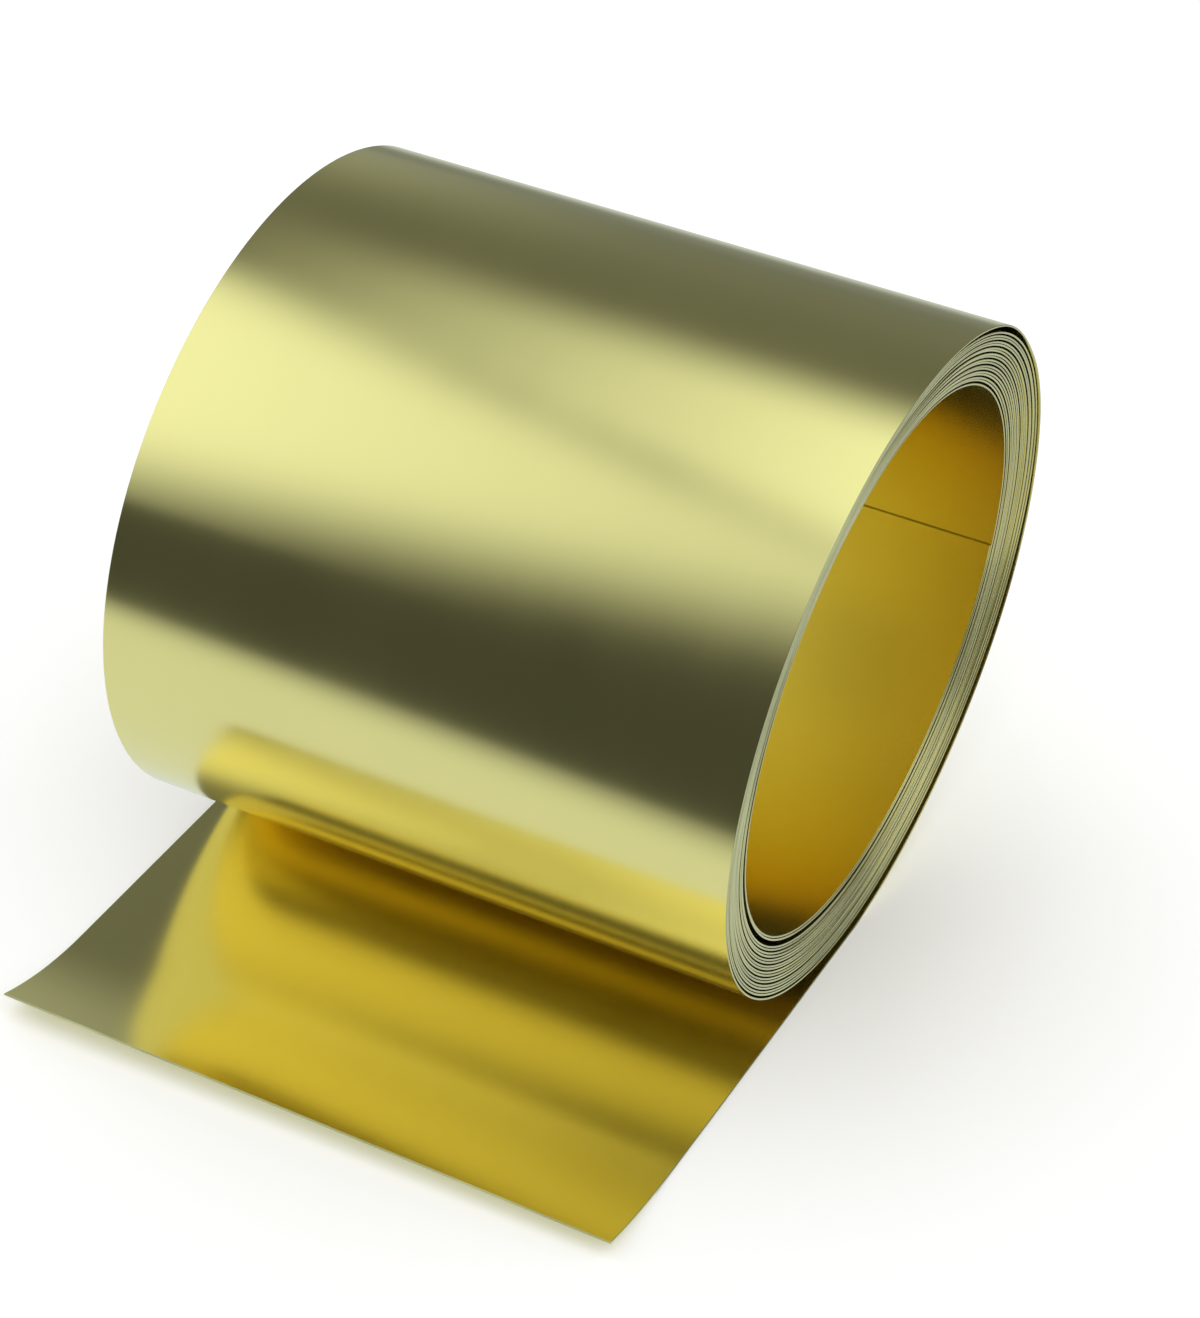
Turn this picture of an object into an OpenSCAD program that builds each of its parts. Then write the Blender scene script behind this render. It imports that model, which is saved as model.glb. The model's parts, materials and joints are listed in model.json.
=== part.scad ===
// A coreless roll of thin brass strip lying on its side, with its free end laid out flat.
// X runs along the roll, -Y is the side where the free end lies, +Z is up.
// The origin is on the roll's axis, half way along the outermost lap.

/* [Strip] */
// Width of the strip, edge to edge
strip_w = 100; // [60:1:160]
// Thickness of the strip
strip_t = 0.3; // [0.2:0.01:0.36]

/* [Coil] */
// Outer diameter of the coil
coil_d = 102.6; // [80:0.2:140]
// Laps that are wound close together, not counting the outermost and the two innermost
tight_laps = 17; // [9:2:17]
// Gap between two laps that lie tight on each other
gap_tight = 0.08; // [0.06:0.01:0.12]
// Gap between two laps that lie loose on each other
gap_loose = 0.25; // [0.14:0.01:0.34]
// Gap at the top under the outermost lap, which has sprung open
gap_top = 0.85; // [0.3:0.05:1.2]
// Gap at the bottom between the coil and the strip that runs out under it
gap_under = 1.1; // [0.3:0.05:1.6]
// Gap at the bottom outside the two innermost laps, which have sprung in
gap_eye = 0.9; // [0.3:0.05:1.2]
// Gap between the two innermost laps
gap_end = 0.05; // [0.04:0.01:0.06]
// Angle from the bottom of the coil to the inner end of the strip
inner_end_angle = 84; // [40:1:150]
// How far back from the coil's lowest line the strip is pressed flat by the coil's weight
foot_l = 4; // [1:0.1:4.5]

/* [Ends] */
// Slope of the coil's two ends, away from square to its axis
end_lean = 3.7; // [0:0.1:5]
// How far the second lap is drawn in from the outermost lap's edge
second_lap_set = 0.4; // [0:0.05:0.6]
// How far each further lap is drawn in from the lap around it
lap_set = 0.085; // [0:0.005:0.12]

/* [Free end] */
// Length of the free end, measured from the lowest line of the coil
tail_l = 77; // [60:1:110]
// Radius of the curl that the free end keeps at its tip
tail_curl_r = 64; // [50:1:200]
// Length of the tip that is curled
tail_curl_l = 20; // [8:0.5:25]

/* [Hidden] */
// Pieces that the free end is divided into, each as long as the others
TAIL_PIECES = 8;
// Laps in the coil: the outermost, the tight ones and the two innermost
LAPS = tight_laps + 3;
COIL_R = coil_d / 2;
// Longer than the strip is wide, for solids that the end planes trim
LONG_W = 2 * strip_w;
// Facets of a full round
ROUND_FN = 180;
BRASS = [0.80, 0.70, 0.32];
BRASS_INSIDE = [0.74, 0.58, 0.18];

function lap_name(k) = str("lap_", k < 10 ? "0" : "", k);
function tail_name(j) = str("tail_", j);

// Gap inside lap k at the top and at the bottom. Tight and loose gaps take turns.
function close_gap(k) = k == LAPS - 1 ? gap_end : k % 2 == 1 ? gap_tight : gap_loose;
function top_gap(k) = k == 1 ? gap_top : close_gap(k);
function bottom_gap(k) = k == 1 ? gap_under : k == LAPS - 2 ? gap_eye : close_gap(k);
// Distance from the axis to the outer face of lap k: at its highest line, and where it starts at the bottom
function top_r(k) = k == 1 ? COIL_R : top_r(k - 1) - strip_t - top_gap(k - 1);
function bottom_r(k) = k == 1 ? COIL_R + strip_t + gap_under : bottom_r(k - 1) - strip_t - bottom_gap(k - 1);
// How far lap k is drawn in along the axis
function lap_shift(k) = k == 1 ? 0 : second_lap_set + lap_set * (k - 2);

// Angle from the bottom at which the outermost lap's arc begins, clear of the flat
FOOT_ANGLE = asin(foot_l / ((top_r(1) + bottom_r(1)) / 2 - strip_t));

// Everything between the two sloping end planes of a lap drawn in by shift
module between_ends(shift) {
    intersection() {
        children();
        translate([-shift, 0, 0])
            rotate([0, end_lean, 0])
                cube([strip_w, 2 * coil_d, 2 * coil_d], center = true);
    }
}

// An arc of strip round the X axis, from the bottom up. up and down are the distances from the
// axis to the outer face at the top and at the bottom, side is 1 for the back and -1 for the
// front, and sweep is the angle from the bottom.
module strip_arc(up, down, side, sweep) {
    outer_r = (up + down) / 2;
    translate([0, 0, (up - down) / 2])
        mirror([0, side == 1 ? 0 : 1, 0])
            rotate([0, 90, 0])
                rotate_extrude(angle = sweep, $fn = ROUND_FN)
                    translate([outer_r - strip_t, -LONG_W / 2])
                        square([strip_t, LONG_W]);
}

// The outermost lap's way up the back: the arc from above the flat
module footed_arc() {
    difference() {
        strip_arc(top_r(1), bottom_r(1), 1, 180);
        translate([0, 0, (top_r(1) - bottom_r(1)) / 2])
            rotate([FOOT_ANGLE, 0, 0])
                translate([-LONG_W / 2, -coil_d, -coil_d])
                    cube([LONG_W, coil_d, coil_d]);
    }
}

// One turn of the strip: from the bottom up the back, over the top and down the front
module lap(k) {
    between_ends(lap_shift(k)) {
        if (k < LAPS) {
            union() {
                if (k == 1) footed_arc();
                else strip_arc(top_r(k), bottom_r(k), 1, 180);
                strip_arc(top_r(k), bottom_r(k + 1), -1, 180);
            }
        } else {
            strip_arc(top_r(k), bottom_r(k), 1, inner_end_angle);
        }
    }
}

TAIL_STEP = tail_l / TAIL_PIECES;
FLOOR_Z = -bottom_r(1);
// Where the lean of the ends puts the middle of the strip at floor height
TAIL_X = FLOOR_Z * tan(end_lean);
// Width of the strip measured along the axis between the sloping ends
TAIL_W = strip_w / cos(end_lean);
// Slope of piece j of the free end: flat on the floor, then the curl, taken at the piece's middle
function curl_run(j) = max(0, (j - 0.5) * TAIL_STEP - (tail_l - tail_curl_l));
function tail_slope(j) = curl_run(j) / tail_curl_r * 180 / PI;
// Where piece j starts, on the strip's upper face, as [distance from the axis line, height]
function tail_run(j) = j == 1 ? 0 : tail_run(j - 1) + TAIL_STEP * cos(tail_slope(j - 1));
function tail_rise(j) = j == 1 ? 0 : tail_rise(j - 1) + TAIL_STEP * sin(tail_slope(j - 1));

// One piece of the free end, hinged to the piece before it along its upper face. The first one
// starts further back, as the flat under the coil.
module tail(j) {
    back = j == 1 ? foot_l : 0;
    translate([TAIL_X, -tail_run(j), FLOOR_Z + strip_t + tail_rise(j)])
        rotate([-tail_slope(j), 0, 0])
            translate([-TAIL_W / 2, -TAIL_STEP, -strip_t])
                cube([TAIL_W, TAIL_STEP + back, strip_t]);
}

for (k = [1 : LAPS]) {
    color(k < LAPS - 1 ? BRASS : BRASS_INSIDE) lap(k);
}
for (j = [1 : TAIL_PIECES]) {
    color(BRASS) tail(j);
}
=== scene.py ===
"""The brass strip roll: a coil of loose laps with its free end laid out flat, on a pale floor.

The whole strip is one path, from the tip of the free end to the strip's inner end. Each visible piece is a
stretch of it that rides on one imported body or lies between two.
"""
import json
import math
import random

import bpy
import numpy as np
from mathutils import Matrix, Vector


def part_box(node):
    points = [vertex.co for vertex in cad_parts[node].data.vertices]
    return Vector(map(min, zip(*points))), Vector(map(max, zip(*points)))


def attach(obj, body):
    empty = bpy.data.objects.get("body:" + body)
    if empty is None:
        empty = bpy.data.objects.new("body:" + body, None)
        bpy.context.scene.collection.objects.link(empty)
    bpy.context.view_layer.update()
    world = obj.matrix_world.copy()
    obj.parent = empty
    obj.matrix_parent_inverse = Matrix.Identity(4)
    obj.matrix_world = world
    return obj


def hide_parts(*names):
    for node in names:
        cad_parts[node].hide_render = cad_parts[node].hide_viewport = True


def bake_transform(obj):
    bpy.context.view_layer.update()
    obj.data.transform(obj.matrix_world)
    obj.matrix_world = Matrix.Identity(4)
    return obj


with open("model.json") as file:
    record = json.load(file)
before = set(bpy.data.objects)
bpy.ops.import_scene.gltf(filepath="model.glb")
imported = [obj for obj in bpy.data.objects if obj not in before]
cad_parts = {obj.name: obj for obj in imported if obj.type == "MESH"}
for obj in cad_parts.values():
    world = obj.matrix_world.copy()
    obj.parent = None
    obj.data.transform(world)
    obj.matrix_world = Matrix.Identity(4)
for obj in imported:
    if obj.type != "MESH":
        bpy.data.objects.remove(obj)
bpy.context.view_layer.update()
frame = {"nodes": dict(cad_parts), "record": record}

MM = 0.001

# ---------------------------------------------------------------- camera
CAMERA_AT = Vector((212.74, -414.32, 326.43)) * MM
CAMERA_RIGHT = Vector((0.8825, 0.4695, 0.0285))
CAMERA_LOOK = Vector((-0.3630, 0.7183, -0.5936))
SENSOR = 36.0
FOCAL = 105.22
CLIP_START = 0.01


def place_camera():
    look = CAMERA_LOOK.normalized()
    right = (CAMERA_RIGHT - look * CAMERA_RIGHT.dot(look)).normalized()
    up = right.cross(look)
    data = bpy.data.cameras.new("camera")
    data.sensor_fit = "AUTO"
    data.sensor_width = SENSOR
    data.lens = FOCAL
    data.clip_start = CLIP_START
    camera = bpy.data.objects.new("camera", data)
    bpy.context.scene.collection.objects.link(camera)
    turn = Matrix((right, up, -look)).transposed().to_4x4()
    camera.matrix_world = Matrix.Translation(CAMERA_AT) @ turn
    bpy.context.scene.camera = camera


place_camera()
bpy.context.scene.view_settings.view_transform = "Standard"
# Light bounces many times inside the eye and under the coil
bpy.context.scene.cycles.glossy_bounces = 6

# ---------------------------------------------------------------- sizes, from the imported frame
lap_names = sorted(n for n in frame["nodes"] if n.startswith("lap_"))
tail_names = sorted(n for n in frame["nodes"] if n.startswith("tail_"))
LAPS = len(lap_names)
TAIL_PIECES = len(tail_names)
boxes = {n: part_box(n) for n in frame["nodes"]}

# The free end's third piece lies flat and square to the axes, so its box gives the strip's own sizes
flat_lo, flat_hi = boxes[tail_names[2]]
THICK = flat_hi.z - flat_lo.z
FLOOR = flat_lo.z
STRIP_W = flat_hi.x - flat_lo.x
STRIP_X = (flat_hi.x + flat_lo.x) / 2
STEP = flat_hi.y - flat_lo.y
TAIL_L = STEP * TAIL_PIECES

# Slope of the coil's two ends, away from square to its axis
first_lo, first_hi = boxes[lap_names[0]]
LEAN = math.atan2(first_hi.x - first_lo.x - STRIP_W, first_hi.z - first_lo.z)
lean = math.tan(LEAN)

# Distance from the axis to each lap's outer face at its highest line, and where it starts at the bottom
eye_z = [m for m in frame["record"]["mounts"] if m["name"] == "eye"][0]["pos_m"][2]
tops = [boxes[n][1].z for n in lap_names]
bottoms = [-boxes[n][0].z for n in lap_names]
bottoms[0] = -FLOOR
# The last lap stops part way up, so its top comes from the bottom and the eye's middle
tops[-1] = bottoms[-1] + 2 * eye_z
last_r = (tops[-1] + bottoms[-1]) / 2
END_ANGLE = math.asin(min(1.0, boxes[lap_names[-1]][1].y / last_r))

# How far each lap is drawn in along the axis
shifts = [STRIP_W / 2 + tops[k] * lean - boxes[lap_names[k]][1].x for k in range(LAPS - 1)]
shifts.append(2 * shifts[-1] - shifts[-2])

# ---------------------------------------------------------------- the strip's path
# Curl that the free end keeps at its tip
CURL_R = 64 * MM
CURL_L = 20 * MM
# How much more the tip's left corner lifts than its middle, as a share of the lift
TWIST = 0.19
# Behind the lowest line the strip leaves the floor between these two distances
FOOT_FROM, FOOT_TO = 2 * MM, 8 * MM
# The outermost lap lies this much closer to the pack high up at the back. It eases in from HUG_TO over
# twice HUG_EASE, and out over HUG_EASE up to HUG_FROM, as angles from the bottom.
HUG = 0.7 * MM
HUG_FROM, HUG_TO, HUG_EASE = math.radians(152), math.radians(65), math.radians(22)
# Unevenness of the laps: of their radius and of their edges. Each kind is a sum of sine waves, as many
# as the first number, with between the second and the third number of waves to a turn.
RADIAL_WAVE = 0.012 * MM
RADIAL_WAVES = (5, 0.7, 4.2)
EDGE_WAVE = 0.065 * MM
EDGE_WAVES = (6, 0.35, 3.1)
# Points of the path: on half a turn, and on each piece of the free end
HALF_STEPS = 120
TAIL_STEPS = 12
SEED = 7

rng = random.Random(SEED)


def waves(count, low, high):
    return [(rng.uniform(low, high), rng.uniform(0, 2 * math.pi)) for _ in range(count)]


def wave(parts, turn_angle):
    return sum(math.sin(n * turn_angle + p) for n, p in parts) / math.sqrt(len(parts))


radial_parts = waves(*RADIAL_WAVES)
edge_parts = waves(*EDGE_WAVES)
# The two outermost laps end evenly
lap_jitter = [0.0, 0.0] + [rng.uniform(-1, 1) for _ in range(LAPS)]


def ease(t):
    t = min(1.0, max(0.0, t))
    return t * t * (3 - 2 * t)


def between(a, b, share):
    return a + (b - a) * share


def edge_share(k):
    """How much of the edges' unevenness lap k has: none for the outermost, all for the others."""
    return min(1, k)


# Each of the next three gives y and z of the outer face, how far the strip is drawn in, and its twist


def tail_point(s):
    """The free end, s in front of the coil's lowest line."""
    run = max(0.0, s - (TAIL_L - CURL_L))
    y = -(min(s, TAIL_L - CURL_L) + CURL_R * math.sin(run / CURL_R))
    rise = CURL_R * (1 - math.cos(run / CURL_R))
    return y, FLOOR + rise, 0.0, -TWIST * rise / (STRIP_W / 2)


def back_point(k, a):
    """Lap k on its way up the back, at angle a from the bottom."""
    r = (tops[k] + bottoms[k]) / 2
    z_middle = (tops[k] - bottoms[k]) / 2
    total = 2 * math.pi * k + a
    if k == 0:
        swell = -HUG * ease((HUG_FROM - a) / HUG_EASE) * ease((a - HUG_TO) / (2 * HUG_EASE))
    else:
        swell = RADIAL_WAVE * wave(radial_parts, total)
    y = (r + swell) * math.sin(a)
    z = z_middle - (r + swell) * math.cos(a)
    if k == 0 and y < FOOT_TO and a < math.pi / 2:
        z = between(FLOOR, z, ease((y - FOOT_FROM) / (FOOT_TO - FOOT_FROM)))
    inset = shifts[k] + EDGE_WAVE * (wave(edge_parts, total) + lap_jitter[k]) * edge_share(k)
    return y, z, inset, 0.0


def front_point(k, done):
    """Lap k on its way down the front, with that share of the half turn done. It eases into the next lap."""
    r = (tops[k] + bottoms[k + 1]) / 2
    z_middle = (tops[k] - bottoms[k + 1]) / 2
    a = math.pi * (1 - done)
    total = 2 * math.pi * (k + 1) - a
    settle = ease(done)
    swell = RADIAL_WAVE * wave(radial_parts, total) * (1 if k else settle)
    y = -(r + swell) * math.sin(a)
    z = z_middle - (r + swell) * math.cos(a)
    jitter = between(lap_jitter[k], lap_jitter[k + 1], settle)
    amount = between(edge_share(k), edge_share(k + 1), settle)
    inset = between(shifts[k], shifts[k + 1], settle)
    return y, z, inset + EDGE_WAVE * (wave(edge_parts, total) + jitter) * amount, 0.0


def build_path():
    """All the path's points from the tip inwards, and the indices of those where pieces begin and end."""
    tail_steps = TAIL_STEPS * TAIL_PIECES
    points = [tail_point(TAIL_L * (1 - i / tail_steps)) for i in range(tail_steps)]
    stops = {}
    for j in range(1, TAIL_PIECES + 1):
        stops["tail", j] = round(tail_steps * (1 - (j - 0.5) / TAIL_PIECES))
    for k in range(LAPS - 1):
        stops["back", k] = len(points)
        points += [back_point(k, math.pi * i / HALF_STEPS) for i in range(HALF_STEPS)]
        stops["front", k] = len(points)
        points += [front_point(k, i / HALF_STEPS) for i in range(HALF_STEPS)]
    last_steps = HALF_STEPS // 2
    stops["back", LAPS - 1] = len(points)
    points += [back_point(LAPS - 1, END_ANGLE * i / last_steps) for i in range(last_steps + 1)]
    stops["end"] = len(points) - 1
    return np.array(points), stops


path, stops = build_path()

# ---------------------------------------------------------------- the strip's cross-section
# Rounding of the slit edges, and the angles of its points
EDGE_R = 0.09 * MM
EDGE_DEGREES = (22, 45, 67, 90)
# Points across each face
FACE_COLUMNS = 7
# A point whose normal points along the axis by more than this is on the slit edge
EDGE_FROM = 0.2


def cross_section():
    """The points round the section: the outer face, the right end, the inner face, the left end.

    Each holds its place as a share of the width, how far it lies from there along the axis, its depth under
    the outer face, and the parts of its normal along the axis and outwards.
    """
    shares = [c / (FACE_COLUMNS - 1) for c in range(FACE_COLUMNS)]
    ends = {}
    for side in (1, -1):
        share = (1 + side) / 2
        outer = []
        for degrees in EDGE_DEGREES:
            a = math.radians(degrees)
            inward = side * EDGE_R * (math.sin(a) - 1)
            outer.append((share, inward, EDGE_R * (1 - math.cos(a)), side * math.sin(a), math.cos(a)))
        inner = [(f, inward, THICK - depth, nx, -nn) for f, inward, depth, nx, nn in reversed(outer)]
        ends[side] = outer + inner
    outer_face = [(f, EDGE_R * (1 - 2 * f), 0.0, 0.0, 1.0) for f in shares]
    inner_face = [(1 - f, EDGE_R * (1 - 2 * (1 - f)), THICK, 0.0, -1.0) for f in shares]
    return outer_face + ends[1] + inner_face + ends[-1][::-1]


def sweep():
    """Points and normals of the whole strip: a row for each path point, a column for each ring point."""
    grid = np.zeros((len(path), n_ring, 3))
    normals = np.zeros((len(path), n_ring, 3))
    twist = path[:, 3]
    middle = STRIP_X + (path[:, 1] - FLOOR) * lean - path[:, 2]
    across = np.stack([np.ones(len(path)), np.zeros(len(path)), twist], 1)
    unit_across = across / np.linalg.norm(across, axis=1)[:, None]
    for j, (share, inward, depth, nx, nn) in enumerate(ring):
        x = middle + STRIP_W * (share - 0.5) + inward
        outer = np.stack([x, path[:, 0], path[:, 1] + twist * (x - STRIP_X)], 1)
        in_plane = outer.copy()
        in_plane[:, 0] = 0
        out = -np.cross(across, np.gradient(in_plane, axis=0))
        out /= np.linalg.norm(out, axis=1)[:, None]
        grid[:, j] = outer - out * depth
        normals[:, j] = unit_across * nx + out * nn
    return grid, normals


ring = cross_section()
n_ring = len(ring)
EDGE_RING = {i for i, p in enumerate(ring) if abs(p[3]) > EDGE_FROM}
grid, normals = sweep()
run_length = np.concatenate(([0], np.cumsum(np.hypot(np.diff(path[:, 0]), np.diff(path[:, 1])))))
heading = np.gradient(np.stack([np.zeros(len(path)), path[:, 0], path[:, 1]], 1), axis=0)
heading /= np.linalg.norm(heading, axis=1)[:, None]


# ---------------------------------------------------------------- materials
def nodes_of(material):
    material.use_nodes = True
    material.node_tree.nodes.clear()
    return material.node_tree.nodes, material.node_tree.links


# Rolling lines: how many to a metre across and along the strip, how fine, how deep in metres
LINE_SCALE = (900, 18, 1)
LINE_DETAIL = 1.0
LINE_DEPTH = 4e-6
BLOTCH_DETAIL = 4.0
# How far the roughness varies either way
ROUGH_SPREAD = 0.03
# A colour Mix node's sockets
MIX_SHARE, MIX_A, MIX_B, MIX_RESULT = 0, 6, 7, 2


def noise(nodes, links, uv, scale, detail):
    """Noise along the strip's own length and width."""
    stretch = nodes.new("ShaderNodeMapping")
    stretch.inputs["Scale"].default_value = scale
    links.new(uv.outputs["UV"], stretch.inputs["Vector"])
    texture = nodes.new("ShaderNodeTexNoise")
    texture.inputs["Scale"].default_value = 1.0
    texture.inputs["Detail"].default_value = detail
    links.new(stretch.outputs["Vector"], texture.inputs["Vector"])
    return texture.outputs["Fac"]


def brass(name, colour, rough, line_strength, spread, blotch_scale):
    """Rolled brass: fine lines along the strip, blotches in colour and shine."""
    material = bpy.data.materials.new(name)
    nodes, links = nodes_of(material)
    shader = nodes.new("ShaderNodeBsdfPrincipled")
    out = nodes.new("ShaderNodeOutputMaterial")
    links.new(shader.outputs["BSDF"], out.inputs["Surface"])
    shader.inputs["Metallic"].default_value = 1.0
    uv = nodes.new("ShaderNodeUVMap")
    uv.uv_map = "strip"
    bump = nodes.new("ShaderNodeBump")
    bump.inputs["Strength"].default_value = line_strength
    bump.inputs["Distance"].default_value = LINE_DEPTH
    links.new(noise(nodes, links, uv, LINE_SCALE, LINE_DETAIL), bump.inputs["Height"])
    links.new(bump.outputs["Normal"], shader.inputs["Normal"])
    blotch = noise(nodes, links, uv, (*blotch_scale, 1), BLOTCH_DETAIL)
    tone = nodes.new("ShaderNodeMix")
    tone.data_type = "RGBA"
    tone.inputs[MIX_A].default_value = (*(c * (1 - spread) for c in colour), 1)
    tone.inputs[MIX_B].default_value = (*(min(1.0, c * (1 + spread)) for c in colour), 1)
    links.new(blotch, tone.inputs[MIX_SHARE])
    links.new(tone.outputs[MIX_RESULT], shader.inputs["Base Color"])
    shine = nodes.new("ShaderNodeMapRange")
    shine.inputs["To Min"].default_value = rough - ROUGH_SPREAD
    shine.inputs["To Max"].default_value = rough + ROUGH_SPREAD
    links.new(blotch, shine.inputs["Value"])
    links.new(shine.outputs["Result"], shader.inputs["Roughness"])
    return material


FACE = brass("brass", colour=(0.92, 0.80, 0.33), rough=0.17, line_strength=0.15, spread=0.03,
             blotch_scale=(60, 22))
# Its colour, darker than the faces', is partly the duller slit edge itself and partly painted shade of the
# gaps between the packed laps' edges
EDGE = brass("brass_slit_edge", colour=(0.58, 0.54, 0.27), rough=0.26, line_strength=0.5, spread=0.6,
             blotch_scale=(60, 40))
# The pieces' material slots
FACE_SLOT, EDGE_SLOT = 0, 1


# ---------------------------------------------------------------- pieces of the strip
def piece(name, start, end):
    """The strip between two path points, as a closed mesh."""
    count = end + 1 - start
    points = grid[start:end + 1].reshape(-1, 3)
    faces, loop_normals, uvs, slots = [], [], [], []
    for i in range(count - 1):
        for j in range(n_ring):
            j_next = (j + 1) % n_ring
            corners = ((i, j), (i + 1, j), (i + 1, j_next), (i, j_next))
            faces.append([row * n_ring + column for row, column in corners])
            for row, column in corners:
                loop_normals.append(normals[start + row, column])
                # the depth stands in for x on the slit edges
                uvs.append((points[row * n_ring + column][0] + ring[column][2], run_length[start + row]))
            slots.append(EDGE_SLOT if j in EDGE_RING and j_next in EDGE_RING else FACE_SLOT)
    # the two cut faces, where one piece meets the next
    for row, sign in ((0, -1), (count - 1, 1)):
        order = list(range(n_ring))[::-sign]
        faces.append([row * n_ring + column for column in order])
        for column in order:
            loop_normals.append(sign * heading[start + row])
            uvs.append((points[row * n_ring + column][0], run_length[start + row] + ring[column][2]))
        slots.append(EDGE_SLOT)
    mesh = bpy.data.meshes.new(name)
    mesh.from_pydata([tuple(p) for p in points], [], faces)
    layer = mesh.uv_layers.new(name="strip")
    layer.data.foreach_set("uv", np.array(uvs, np.float32).ravel())
    mesh.materials.append(FACE)
    mesh.materials.append(EDGE)
    mesh.polygons.foreach_set("material_index", slots)
    mesh.polygons.foreach_set("use_smooth", [True] * len(faces))
    mesh.update()
    mesh.normals_split_custom_set([tuple(n) for n in loop_normals])
    obj = bpy.data.objects.new(name, mesh)
    bpy.context.scene.collection.objects.link(obj)
    return obj


def middle_of(j):
    """The middle of the free end's piece j. The first piece reaches back under the coil, so half a step in
    front of the lowest line is taken instead."""
    low, high = boxes[tail_names[j - 1]]
    at = (low + high) / 2
    if j == 1:
        at.y = -STEP / 2
    return at


def build_free_end():
    """The tip rides on the last body. Each stretch between the middles of two bodies is a piece of its own
    that rides on no body.
    """
    tip = piece("strip_tip", 0, stops["tail", TAIL_PIECES])
    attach(tip, tail_names[-1])
    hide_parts(tail_names[-1])
    for j in range(TAIL_PIECES, 1, -1):
        # the first piece of the free end is part of the outermost lap's body
        bend = piece("strip_tail_%d" % (j - 1), stops["tail", j], stops["tail", j - 1])
        middle_of(j - 1)
        middle_of(j)
        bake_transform(bend)
        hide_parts(tail_names[j - 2])


def build_coil():
    """Each lap's back rides on that lap; its front, which eases from that lap into the next, is a piece of
    its own that rides on no body.
    """
    for k, name in enumerate(lap_names):
        begin = stops["tail", 1] if k == 0 else stops["back", k]
        finish = stops["end"] if k == LAPS - 1 else stops["front", k]
        back = piece("%s_back" % name, begin, finish)
        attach(back, name)
        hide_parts(name)
        if k < LAPS - 1:
            front = piece("%s_front" % name, stops["front", k], stops["back", k + 1])
            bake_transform(front)


build_free_end()
build_coil()


# ---------------------------------------------------------------- floor and studio
def stage_plane(name, corners, material):
    mesh = bpy.data.meshes.new(name)
    mesh.from_pydata(corners, [], [list(range(len(corners)))])
    mesh.materials.append(material)
    obj = bpy.data.objects.new(name, mesh)
    bpy.context.scene.collection.objects.link(obj)
    return obj


def square(z):
    h = FLOOR_HALF
    return [(-h, -h, z), (h, -h, z), (h, h, z), (-h, h, z)]


def reflected_only(obj):
    """Seen in the brass alone: it lights nothing else and the camera doesn't see it."""
    obj.visible_camera = False
    obj.visible_diffuse = False
    obj.visible_shadow = False
    obj.visible_transmission = False
    obj.visible_volume_scatter = False


FLOOR_HALF = 4.0
FLOOR_GREY = 0.92
WORLD_STRENGTH = 1.25


def build_floor():
    """Pale paper. The brass mirrors the studio's ground in its place."""
    material = bpy.data.materials.new("floor_paper")
    nodes, links = nodes_of(material)
    paper = nodes.new("ShaderNodeBsdfDiffuse")
    paper.inputs["Color"].default_value = (FLOOR_GREY, FLOOR_GREY, FLOOR_GREY, 1)
    out = nodes.new("ShaderNodeOutputMaterial")
    links.new(paper.outputs["BSDF"], out.inputs["Surface"])
    stage_plane("floor", square(FLOOR), material).visible_glossy = False


def build_world():
    """Even white light from all around."""
    world = bpy.data.worlds.new("studio")
    bpy.context.scene.world = world
    world.use_nodes = True
    background = world.node_tree.nodes["Background"]
    background.inputs["Color"].default_value = (1, 1, 1, 1)
    background.inputs["Strength"].default_value = WORLD_STRENGTH


# What the brass mirrors is a little greener than the floor looks to the camera
GLASS_TINT = (0.842, 0.944, 0.954)


class Glow:
    """A glowing material whose brightness is worked out from the place on it."""

    def __init__(self, name):
        self.material = bpy.data.materials.new(name)
        self.nodes, self.links = nodes_of(self.material)

    def xyz(self):
        place = self.nodes.new("ShaderNodeTexCoord")
        split = self.nodes.new("ShaderNodeSeparateXYZ")
        self.links.new(place.outputs["Object"], split.inputs[0])
        return split.outputs

    def calc(self, kind, *values):
        node = self.nodes.new("ShaderNodeMath")
        node.operation = kind
        for socket, value in zip(node.inputs, values):
            if isinstance(value, (int, float)):
                socket.default_value = value
            else:
                self.links.new(value, socket)
        return node.outputs[0]

    def line(self, value, slope, at_zero):
        return self.calc("MULTIPLY_ADD", value, slope, at_zero)

    def ramp(self, value, low, high, to_low=0.0, to_high=1.0):
        node = self.nodes.new("ShaderNodeMapRange")
        node.interpolation_type = "SMOOTHSTEP"
        node.inputs["From Min"].default_value = low
        node.inputs["From Max"].default_value = high
        node.inputs["To Min"].default_value = to_low
        node.inputs["To Max"].default_value = to_high
        self.links.new(value, node.inputs["Value"])
        return node.outputs["Result"]

    def mix(self, share, a, b):
        """a where share is 0, b where it is 1."""
        rest = self.calc("SUBTRACT", 1.0, share)
        return self.calc("ADD", self.calc("MULTIPLY", rest, a), self.calc("MULTIPLY", share, b))

    def finish(self, level):
        emitter = self.nodes.new("ShaderNodeEmission")
        emitter.inputs["Color"].default_value = (*GLASS_TINT, 1)
        if isinstance(level, float):
            emitter.inputs["Strength"].default_value = level
        else:
            self.links.new(level, emitter.inputs["Strength"])
        out = self.nodes.new("ShaderNodeOutputMaterial")
        self.links.new(emitter.outputs["Emission"], out.inputs["Surface"])
        return self.material


# Brightness of the studio behind, of the bench far behind, and in front
BACK_LEVEL = 0.165
LOW_BACK_LEVEL = 0.24
FRONT_LEVEL = 0.07

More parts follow.
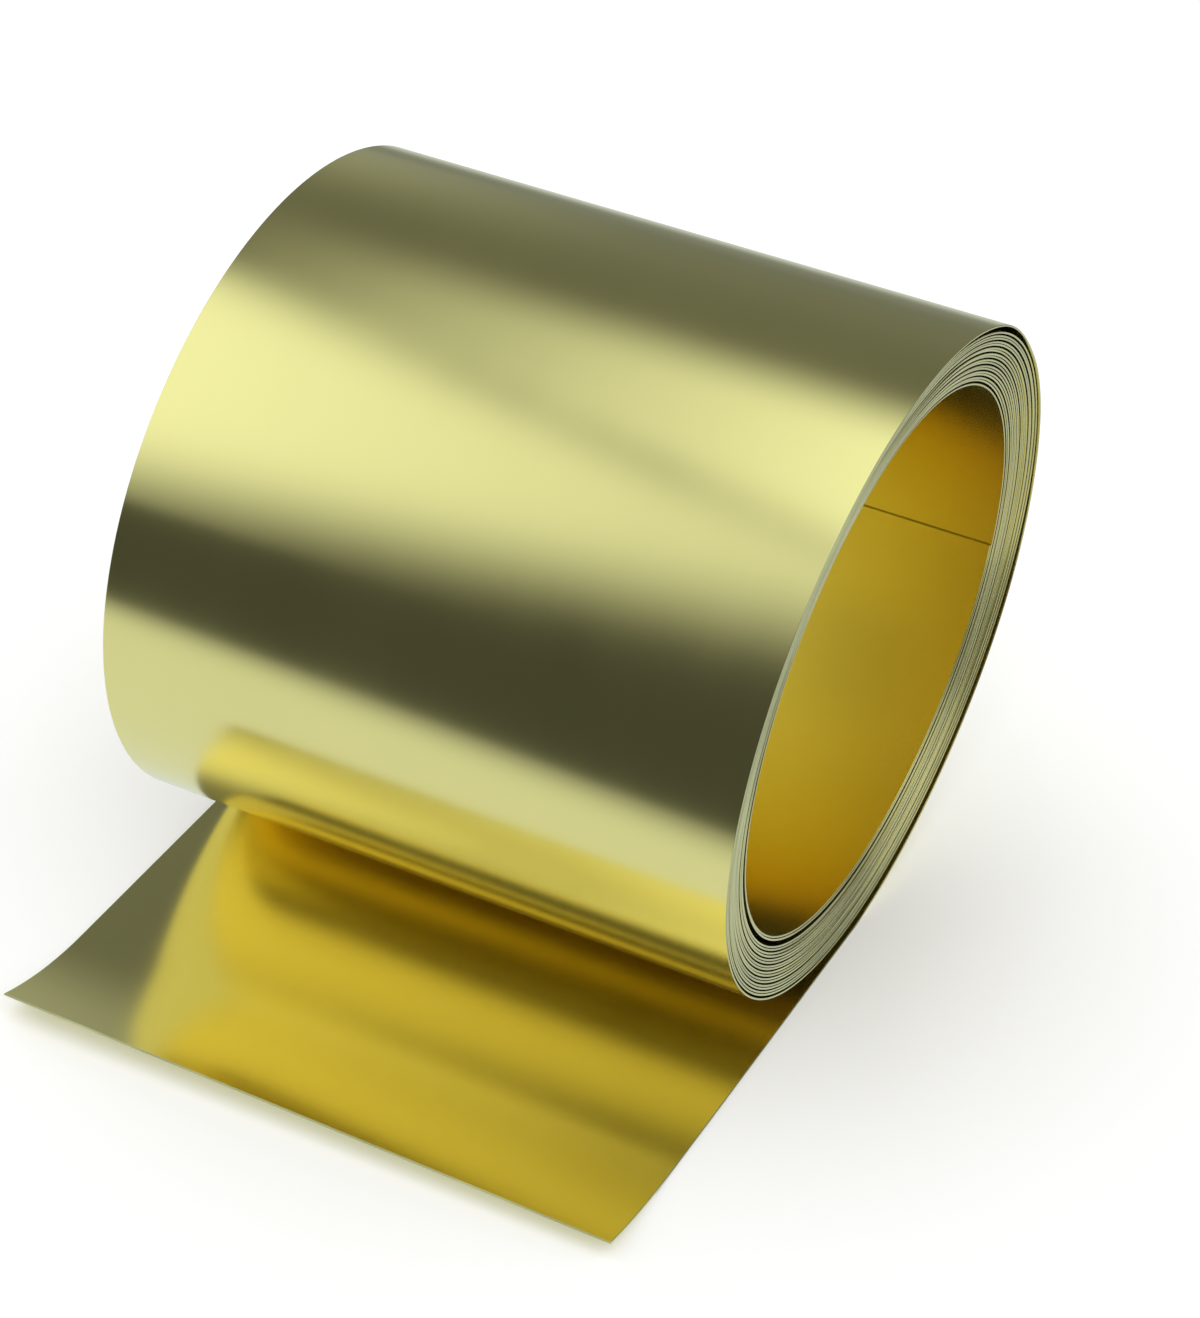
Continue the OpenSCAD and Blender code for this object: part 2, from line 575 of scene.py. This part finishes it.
# The room: a sphere whose brightness follows the direction seen from the roll. A broad soft light reaches
# from behind over the top to the front, in two panels with a thin darker joint between them. Angles round
# the roll are in degrees: 0 at the back, 90 overhead, 180 at the front. "Side" is how far a direction
# leans to the left, from SIDE_LEAST for what the roll's left end mirrors to SIDE_MOST for its right end.
ROOM_R = 1.6
ROOM_SEGMENTS, ROOM_RINGS = 48, 24
SIDE_LEAST, SIDE_MOST = -0.6, -0.26
ACROSS = (-0.515, -0.344)
# "Straight" is side on a scale that the panels' places and levels are linear in: slope, value at zero
STRAIGHT = (5.85, 3.01)
JOINT_AT = (20.0, 92.0)
FRONT_EDGE_AT = (-14.0, 157.0)
REAR_PANEL = (0.64, 0.33)
FRONT_PANEL = (-0.24, 1.12)
LOW_LEVEL = (-1.12, -0.258)
LOW_LEVEL_LEAST = 0.2
# Where each change of brightness begins and ends
LOW_BAND = (8, 46)
BACK_BAND = (50, 76)
JOINT_BAND = (-9, 10)
FRONT_BAND = (-18, 17)
# The darker joint: how deep, how wide either way, and how far ahead of the panels' change
DIP, DIP_WIDTH, DIP_AHEAD = 0.55, 13, 3.0


def build_room():
    glow = Glow("room")
    calc, line, ramp, mix = glow.calc, glow.line, glow.ramp, glow.mix
    x, y, z = glow.xyz()
    reach = calc("SQRT", calc("ADD", calc("MULTIPLY", y, y), calc("MULTIPLY", z, z)))
    side = calc("MINIMUM", calc("MAXIMUM", calc("DIVIDE", x, reach), SIDE_LEAST), SIDE_MOST)
    across = ramp(side, *ACROSS)
    straight = line(side, *STRAIGHT)
    turned = calc("MULTIPLY", calc("ARCTAN2", z, y), 180 / math.pi)
    angle = calc("SUBTRACT", calc("FLOORED_MODULO", calc("ADD", turned, 90.0), 360.0), 90.0)
    past_joint = calc("SUBTRACT", angle, line(straight, *JOINT_AT))
    past_edge = calc("SUBTRACT", angle, line(straight, *FRONT_EDGE_AT))
    low_level = calc("MAXIMUM", line(side, *LOW_LEVEL), LOW_LEVEL_LEAST)
    back = mix(ramp(angle, *LOW_BAND), low_level, BACK_LEVEL)
    dip = ramp(calc("ABSOLUTE", calc("ADD", past_joint, DIP_AHEAD)), 0, DIP_WIDTH, DIP, 0.0)
    rear_panel = calc("SUBTRACT", line(straight, *REAR_PANEL), calc("MULTIPLY", dip, across))
    panels = mix(ramp(past_joint, *JOINT_BAND), rear_panel, line(straight, *FRONT_PANEL))
    level = mix(ramp(angle, *BACK_BAND), back, panels)
    material = glow.finish(mix(ramp(past_edge, *FRONT_BAND), level, FRONT_LEVEL))
    bpy.ops.mesh.primitive_uv_sphere_add(segments=ROOM_SEGMENTS, ring_count=ROOM_RINGS, radius=ROOM_R)
    room = bpy.context.object
    room.name = "room"
    room.data.materials.append(material)
    reflected_only(room)


# The ground as the brass mirrors it: pale paper that ends in front and far behind, then a dark bench.
# Its front edge runs askew, by PAPER_SKEW, and both edges are soft.
GROUND_Z = FLOOR + 0.2 * MM
PAPER_LEVEL = 0.83
PAPER_SKEW = -0.25
PAPER_FRONT = (-0.172, -0.108)
PAPER_BACK = (0.18, 0.5)


def build_ground():
    glow = Glow("ground")
    x, y, z = glow.xyz()
    over_paper = glow.ramp(glow.line(x, PAPER_SKEW, y), *PAPER_FRONT)
    behind = glow.ramp(y, *PAPER_BACK)
    level = glow.mix(behind, glow.mix(over_paper, FRONT_LEVEL, PAPER_LEVEL), LOW_BACK_LEVEL)
    reflected_only(stage_plane("ground", square(GROUND_Z), glow.finish(level)))


# A low dark flag stands along the paper's front edge, and darkens what the free end mirrors
FLAG_TOP = 50 * MM
FLAG_LEFT, FLAG_RIGHT = (-0.6, -0.30), (0.3, -0.08)


def build_flag():
    foot = [(*FLAG_LEFT, GROUND_Z), (*FLAG_RIGHT, GROUND_Z)]
    top = [(*FLAG_RIGHT, FLAG_TOP), (*FLAG_LEFT, FLAG_TOP)]
    reflected_only(stage_plane("flag", foot + top, Glow("flag").finish(FRONT_LEVEL)))


# A glowing disc just inside the eye's far end, seen only in the brass: painted light for the inside of the
# eye, whose laps mirror it.
# It is brighter behind and low down than in front and high up.
PAINTED_EYE_GLOW_R = last_r - THICK - 0.4 * MM
PAINTED_EYE_GLOW_X = 2 * MM - STRIP_W / 2
PAINTED_EYE_GLOW_SIDES = 48
PAINTED_EYE_GLOW_BAND = (-0.045, 0.03)
PAINTED_EYE_GLOW_LEVELS = (0.38, 0.88)


def build_painted_eye_glow():
    glow = Glow("painted_eye_glow")
    x, y, z = glow.xyz()
    # painted light: the disc's glow is brighter behind and low down
    level = glow.ramp(glow.calc("SUBTRACT", y, z), *PAINTED_EYE_GLOW_BAND, *PAINTED_EYE_GLOW_LEVELS)
    circle = []
    for i in range(PAINTED_EYE_GLOW_SIDES):
        a = 2 * math.pi * i / PAINTED_EYE_GLOW_SIDES
        height = eye_z + PAINTED_EYE_GLOW_R * math.sin(a)
        circle.append((PAINTED_EYE_GLOW_X + height * lean, PAINTED_EYE_GLOW_R * math.cos(a), height))
    reflected_only(stage_plane("painted_eye_glow", circle, glow.finish(level)))


build_floor()
build_world()
build_room()
build_ground()
build_flag()
build_painted_eye_glow()
